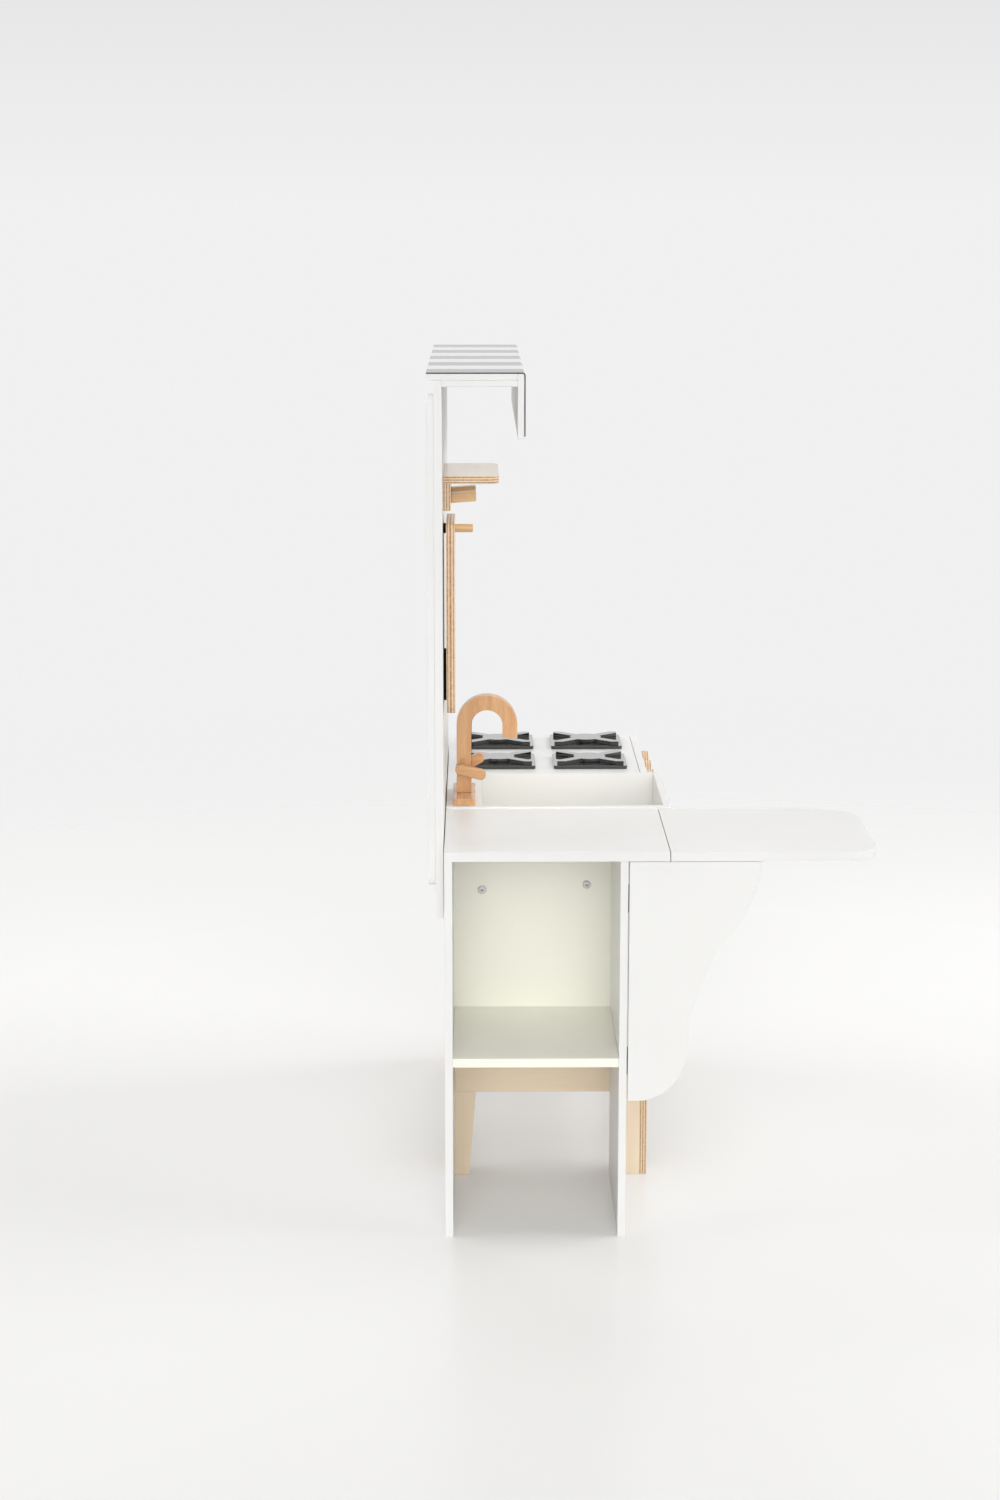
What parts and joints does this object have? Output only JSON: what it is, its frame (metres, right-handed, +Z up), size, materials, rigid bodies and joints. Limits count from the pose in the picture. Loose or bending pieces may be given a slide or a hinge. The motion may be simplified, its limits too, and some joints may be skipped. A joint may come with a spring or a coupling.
{
  "type": "toy kitchen",
  "caption": "Child's play kitchen with a side table and folding leaf, sink with wooden faucet, hob over an oven, cupboard, and a back wall with shelf, pegs and a striped canopy.",
  "frame": {"origin": "on the floor, at the middle of the part's box seen from above", "axes": "+Z up, front of the cabinet faces -Y, +X to the right of someone facing it"},
  "size_m": [0.74, 0.5662, 1.1],
  "materials": {
    "white_board": "fibreboard with satin white paint",
    "birch_ply": "clear-lacquered birch plywood, layered edges",
    "beech": "turned and sawn beech, glossy clear lacquer",
    "burner_black": "gloss black moulded plastic",
    "striped_film": "glossy film printed in wide dark and light stripes",
    "steel": "zinc-plated steel",
    "clear_pane": "clear acrylic sheet",
    "black_rubber": "black rubber",
    "washer": "dark nylon"
  },
  "bodies": {
    "cabinet": {"table_front_panel": "white_board", "table_back_panel": "white_board", "table_shelf": "white_board", "table_side_panel": "white_board", "cabinet_left_side": "white_board", "joining_bolts": "steel", "joining_nuts": "steel", "table_top": "white_board", "cabinet_right_side": "white_board", "cabinet_divider": "white_board", "cabinet_floor": "white_board", "cabinet_back": "white_board", "oven_shelf": "white_board", "sink_side_walls": "white_board", "sink_apron": "white_board", "sink_floor": "white_board", "sink_back_wall": "white_board", "faucet_deck": "white_board", "hob_top": "white_board", "fascia": "white_board", "burner_plates": "burner_black", "burner_grates": "burner_black", "knob_screws": "steel", "base_long_rails": "birch_ply", "base_side_rails": "birch_ply", "base_leg_plates": "birch_ply", "wall_panel": "white_board", "wall_battens": "white_board", "wall_screws": "steel", "wall_spacers": "washer", "canopy_roof": "white_board", "canopy_rails": "white_board", "canopy_film": "striped_film", "canopy_valance": "white_board", "wall_shelf": "birch_ply", "peg_rail": "birch_ply", "wall_pegs": "beech", "board_stops": "black_rubber", "faucet_base": "beech", "faucet_spout": "beech", "faucet_axle": "beech", "hinge_plates": "steel", "hinge_pins": "steel"},
    "leaf": {"table_leaf": "white_board", "leaf_hinge_flaps": "steel"},
    "bracket": {"leaf_bracket": "white_board", "bracket_hinge_flaps": "steel"},
    "oven_door": {"oven_door": "white_board", "oven_window": "clear_pane", "oven_handle": "beech", "oven_pivot_pins": "steel"},
    "cupboard_door": {"cupboard_door": "white_board", "cupboard_knob": "beech", "cupboard_pivot_pins": "steel"},
    "knob_left": {"knob_left": "birch_ply"},
    "knob_middle": {"knob_middle": "birch_ply"},
    "knob_right": {"knob_right": "birch_ply"},
    "lever_left": {"lever_left": "beech"},
    "lever_right": {"lever_right": "beech"},
    "cutting_board": {"cutting_board": "birch_ply"}
  },
  "joints": [
    {"name": "leaf_hinge", "type": "hinge", "parent": "cabinet", "child": "leaf", "pos_m": [-0.2465, -0.0206, 0.4984], "axis": [-1, 0, 0], "range_deg": [0, 5]},
    {"name": "bracket_hinge", "type": "hinge", "parent": "cabinet", "child": "bracket", "pos_m": [-0.3576, 0.0295, 0.339], "axis": [0, 0, 1], "range_deg": [0, 90]},
    {"name": "oven_door_hinge", "type": "hinge", "parent": "cabinet", "child": "oven_door", "pos_m": [0.236, -0.0151, 0.1725], "axis": [1, 0, 0], "range_deg": [0, 90]},
    {"name": "cupboard_door_hinge", "type": "hinge", "parent": "cabinet", "child": "cupboard_door", "pos_m": [-0.1165, -0.0151, 0.292], "axis": [0, 0, -1], "range_deg": [0, 95]},
    {"name": "knob_left_turn", "type": "hinge", "parent": "cabinet", "child": "knob_left", "pos_m": [0.17, -0.0261, 0.482], "axis": [0, -1, 0], "continuous": true},
    {"name": "knob_middle_turn", "type": "hinge", "parent": "cabinet", "child": "knob_middle", "pos_m": [0.236, -0.0261, 0.482], "axis": [0, -1, 0], "continuous": true},
    {"name": "knob_right_turn", "type": "hinge", "parent": "cabinet", "child": "knob_right", "pos_m": [0.302, -0.0261, 0.482], "axis": [0, -1, 0], "continuous": true},
    {"name": "lever_left_turn", "type": "hinge", "parent": "cabinet", "child": "lever_left", "pos_m": [-0.082, 0.2389, 0.5515], "axis": [-1, 0, 0], "range_deg": [-20, 60]},
    {"name": "lever_right_turn", "type": "hinge", "parent": "cabinet", "child": "lever_right", "pos_m": [-0.042, 0.2389, 0.5515], "axis": [-1, 0, 0], "range_deg": [-62, 18]},
    {"name": "cutting_board_swing", "type": "hinge", "parent": "cabinet", "child": "cutting_board", "pos_m": [-0.1955, 0.2546, 0.894], "axis": [0, 1, 0], "range_deg": [-14, 14]}
  ]
}
